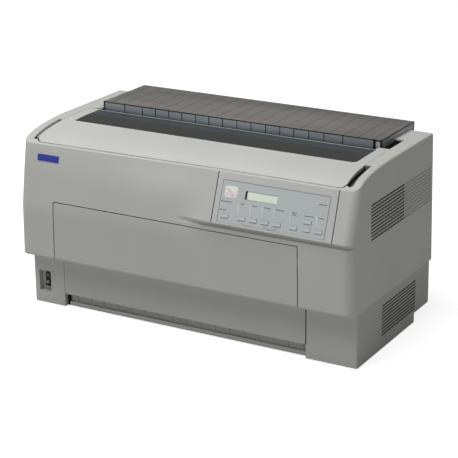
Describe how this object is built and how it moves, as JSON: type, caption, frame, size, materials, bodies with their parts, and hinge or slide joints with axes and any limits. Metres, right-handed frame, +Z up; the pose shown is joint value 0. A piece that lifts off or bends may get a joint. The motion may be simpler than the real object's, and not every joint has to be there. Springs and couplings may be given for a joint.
{
  "type": "dot matrix printer",
  "caption": "Wide-carriage dot matrix printer with hinged top cover, smoked paper guide, fold-down front door, control panel keys, tractors and printing mechanism.",
  "frame": {"origin": "centre of the overall box on the standing surface", "axes": "+X to the printer's right as seen from the front, +Y to its back, +Z up"},
  "size_m": [0.7, 0.386, 0.363],
  "materials": {
    "casing_grey": "fine texture",
    "door_grey": "fine texture",
    "cover_grey": "fine texture",
    "smoke_window": "smoked clear",
    "smoke_guide": "smoked clear",
    "tear_steel": "brushed",
    "pin_steel": "satin",
    "overlay_film": "satin film",
    "lcd_glass": "clear",
    "board_green": "solder mask",
    "key_plastic": "satin",
    "black_plastic": "satin",
    "head_black": "matt",
    "badge_blue": "satin",
    "foot_rubber": "matt",
    "belt_rubber": "matt",
    "plate_steel": "zinc plated",
    "platen_rubber": "ground",
    "pinion_brass": "satin",
    "motor_paint": "satin",
    "shaft_steel": "ground",
    "tractor_blue": "satin",
    "lid_blue": "satin",
    "knob_grey": "satin",
    "supply_metal": "plain",
    "connector_metal": "plain"
  },
  "bodies": {
    "chassis": {"base_housing": "casing_grey", "upper_casing": "casing_grey", "paper_entry_guide": "casing_grey", "tear_bar": "tear_steel", "hinge_pins": "pin_steel", "panel_bezel": "cover_grey", "panel_overlay": "overlay_film", "lcd_display": "lcd_glass", "panel_board": "board_green", "switch_body": "black_plastic", "blank_badge": "badge_blue", "rubber_feet": "foot_rubber", "base_plate": "plate_steel", "side_plate_left": "plate_steel", "side_plate_right": "plate_steel", "frame_screws": "pin_steel", "feed_motor": "motor_paint", "support_shafts": "shaft_steel", "carriage_shafts": "shaft_steel", "ribbon_cartridge": "black_plastic", "carriage_motor": "motor_paint", "timing_belts": "belt_rubber", "fan_housing": "black_plastic", "power_supply": "supply_metal", "main_board": "board_green", "interface_connectors": "connector_metal", "ac_inlet": "black_plastic"},
    "printer_cover": {"printer_cover": "cover_grey", "cover_window": "smoke_window"},
    "paper_guide": {"paper_guide": "smoke_guide"},
    "front_door": {"front_door": "door_grey"},
    "lower_cover": {"lower_front_cover": "door_grey"},
    "key_1": {"key_1": "key_plastic"},
    "key_2": {"key_2": "key_plastic"},
    "key_3": {"key_3": "key_plastic"},
    "key_4": {"key_4": "key_plastic"},
    "key_5": {"key_5": "key_plastic"},
    "key_6": {"key_6": "key_plastic"},
    "key_7": {"key_7": "key_plastic"},
    "key_8": {"key_8": "key_plastic"},
    "key_9": {"key_9": "key_plastic"},
    "rocker": {"power_rocker": "black_plastic"},
    "platen": {"platen": "platen_rubber"},
    "feed_pinion": {"feed_pinion": "pinion_brass"},
    "front_shaft": {"front_drive_shaft": "shaft_steel"},
    "rear_shaft": {"rear_drive_shaft": "shaft_steel"},
    "carriage": {"carriage": "black_plastic", "print_head": "head_black"},
    "drive_pulley": {"drive_pulley": "pinion_brass"},
    "idler_pulley": {"idler_pulley": "pinion_brass"},
    "ribbon_knob": {"ribbon_knob": "knob_grey"},
    "fan_rotor": {"fan_rotor": "black_plastic"},
    "front_tractor_left": {"front_tractor_left": "tractor_blue"},
    "front_lid_left": {"front_lid_left": "lid_blue"},
    "front_tractor_right": {"front_tractor_right": "tractor_blue"},
    "front_lid_right": {"front_lid_right": "lid_blue"},
    "rear_tractor_left": {"rear_tractor_left": "tractor_blue"},
    "rear_lid_left": {"rear_lid_left": "lid_blue"},
    "rear_tractor_right": {"rear_tractor_right": "tractor_blue"},
    "rear_lid_right": {"rear_lid_right": "lid_blue"}
  },
  "joints": [
    {"name": "printer_cover_hinge", "type": "hinge", "parent": "chassis", "child": "printer_cover", "pos_m": [0, 0, 0.343], "axis": [-1, 0, 0], "range_deg": [0, 65]},
    {"name": "paper_guide_hinge", "type": "hinge", "parent": "chassis", "child": "paper_guide", "pos_m": [0, 0.043, 0.3515], "axis": [1, 0, 0], "range_deg": [0, 95]},
    {"name": "front_door_hinge", "type": "hinge", "parent": "chassis", "child": "front_door", "pos_m": [0, -0.183, 0.113], "axis": [1, 0, 0], "range_deg": [0, 90]},
    {"name": "lower_cover_hinge", "type": "hinge", "parent": "chassis", "child": "lower_cover", "pos_m": [0, -0.154, 0.1], "axis": [-1, 0, 0], "range_deg": [0, 60]},
    {"name": "key_1_press", "type": "slide", "parent": "chassis", "child": "key_1", "axis": [0, 0.9322, -0.3619], "range_m": [0, 0.001], "stiffness_N_per_m": 500, "springref_m": -0.0004},
    {"name": "key_2_press", "type": "slide", "parent": "chassis", "child": "key_2", "axis": [0, 0.9322, -0.3619], "range_m": [0, 0.001], "stiffness_N_per_m": 500, "springref_m": -0.0004},
    {"name": "key_3_press", "type": "slide", "parent": "chassis", "child": "key_3", "axis": [0, 0.9322, -0.3619], "range_m": [0, 0.001], "stiffness_N_per_m": 500, "springref_m": -0.0004},
    {"name": "key_4_press", "type": "slide", "parent": "chassis", "child": "key_4", "axis": [0, 0.9322, -0.3619], "range_m": [0, 0.001], "stiffness_N_per_m": 500, "springref_m": -0.0004},
    {"name": "key_5_press", "type": "slide", "parent": "chassis", "child": "key_5", "axis": [0, 0.9322, -0.3619], "range_m": [0, 0.001], "stiffness_N_per_m": 500, "springref_m": -0.0004},
    {"name": "key_6_press", "type": "slide", "parent": "chassis", "child": "key_6", "axis": [0, 0.9322, -0.3619], "range_m": [0, 0.001], "stiffness_N_per_m": 500, "springref_m": -0.0004},
    {"name": "key_7_press", "type": "slide", "parent": "chassis", "child": "key_7", "axis": [0, 0.9322, -0.3619], "range_m": [0, 0.001], "stiffness_N_per_m": 500, "springref_m": -0.0004},
    {"name": "key_8_press", "type": "slide", "parent": "chassis", "child": "key_8", "axis": [0, 0.9322, -0.3619], "range_m": [0, 0.001], "stiffness_N_per_m": 500, "springref_m": -0.0004},
    {"name": "key_9_press", "type": "slide", "parent": "chassis", "child": "key_9", "axis": [0, 0.9322, -0.3619], "range_m": [0, 0.001], "stiffness_N_per_m": 500, "springref_m": -0.0004},
    {"name": "power_rocker_tilt", "type": "hinge", "parent": "chassis", "child": "rocker", "pos_m": [-0.32, -0.143, 0.0475], "axis": [1, 0, 0], "range_deg": [0, 14]},
    {"name": "platen_spin", "type": "hinge", "parent": "chassis", "child": "platen", "pos_m": [0, 0.048, 0.262], "axis": [1, 0, 0], "continuous": true},
    {"name": "feed_pinion_spin", "type": "hinge", "parent": "chassis", "child": "feed_pinion", "pos_m": [0, 0.03227, 0.21877], "axis": [1, 0, 0], "continuous": true},
    {"name": "front_shaft_spin", "type": "hinge", "parent": "chassis", "child": "front_shaft", "pos_m": [0, -0.128, 0.14], "axis": [1, 0, 0], "continuous": true},
    {"name": "rear_shaft_spin", "type": "hinge", "parent": "chassis", "child": "rear_shaft", "pos_m": [0, 0.082, 0.20311], "axis": [1, 0, 0], "continuous": true},
    {"name": "carriage_slide", "type": "slide", "parent": "chassis", "child": "carriage", "axis": [1, 0, 0], "range_m": [-0.225, 0.225]},
    {"name": "drive_pulley_spin", "type": "hinge", "parent": "chassis", "child": "drive_pulley", "pos_m": [-0.285, -0.039, 0.205], "axis": [0, 0, 1], "continuous": true},
    {"name": "idler_pulley_spin", "type": "hinge", "parent": "chassis", "child": "idler_pulley", "pos_m": [0.285, -0.039, 0.205], "axis": [0, 0, 1], "continuous": true},
    {"name": "ribbon_knob_spin", "type": "hinge", "parent": "chassis", "child": "ribbon_knob", "pos_m": [0.25, -0.117, 0.286], "axis": [0, 0, 1], "continuous": true},
    {"name": "fan_spin", "type": "hinge", "parent": "chassis", "child": "fan_rotor", "pos_m": [0.225, 0.137, 0.064], "axis": [0, 1, 0], "continuous": true},
    {"name": "front_tractor_left_slide", "type": "slide", "parent": "chassis", "child": "front_tractor_left", "axis": [1, 0, 0], "range_m": [-0.05, 0.1]},
    {"name": "front_lid_left_hinge", "type": "hinge", "parent": "front_tractor_left", "child": "front_lid_left", "pos_m": [-0.2072, -0.1395, 0.14], "axis": [0, 0, -1], "range_deg": [0, 110]},
    {"name": "front_tractor_right_slide", "type": "slide", "parent": "chassis", "child": "front_tractor_right", "axis": [1, 0, 0], "range_m": [-0.1, 0.03]},
    {"name": "front_lid_right_hinge", "type": "hinge", "parent": "front_tractor_right", "child": "front_lid_right", "pos_m": [0.2072, -0.1395, 0.14], "axis": [0, 0, 1], "range_deg": [0, 110]},
    {"name": "rear_tractor_left_slide", "type": "slide", "parent": "chassis", "child": "rear_tractor_left", "axis": [1, 0, 0], "range_m": [-0.05, 0.1]},
    {"name": "rear_lid_left_hinge", "type": "hinge", "parent": "rear_tractor_left", "child": "rear_lid_left", "pos_m": [-0.2072, 0.084, 0.21444], "axis": [0, -0.9848, 0.1736], "range_deg": [0, 110]},
    {"name": "rear_tractor_right_slide", "type": "slide", "parent": "chassis", "child": "rear_tractor_right", "axis": [1, 0, 0], "range_m": [-0.1, 0.03]},
    {"name": "rear_lid_right_hinge", "type": "hinge", "parent": "rear_tractor_right", "child": "rear_lid_right", "pos_m": [0.2072, 0.084, 0.21444], "axis": [0, 0.9848, -0.1736], "range_deg": [0, 110]}
  ],
  "couplings": [
    {"joint": "feed_pinion_spin", "follows": "platen_spin", "ratio": -2.8333},
    {"joint": "front_shaft_spin", "follows": "platen_spin", "ratio": 1},
    {"joint": "rear_shaft_spin", "follows": "platen_spin", "ratio": -1},
    {"joint": "drive_pulley_spin", "follows": "carriage_slide", "rad_per_m": 79.365},
    {"joint": "idler_pulley_spin", "follows": "carriage_slide", "rad_per_m": 79.365}
  ]
}
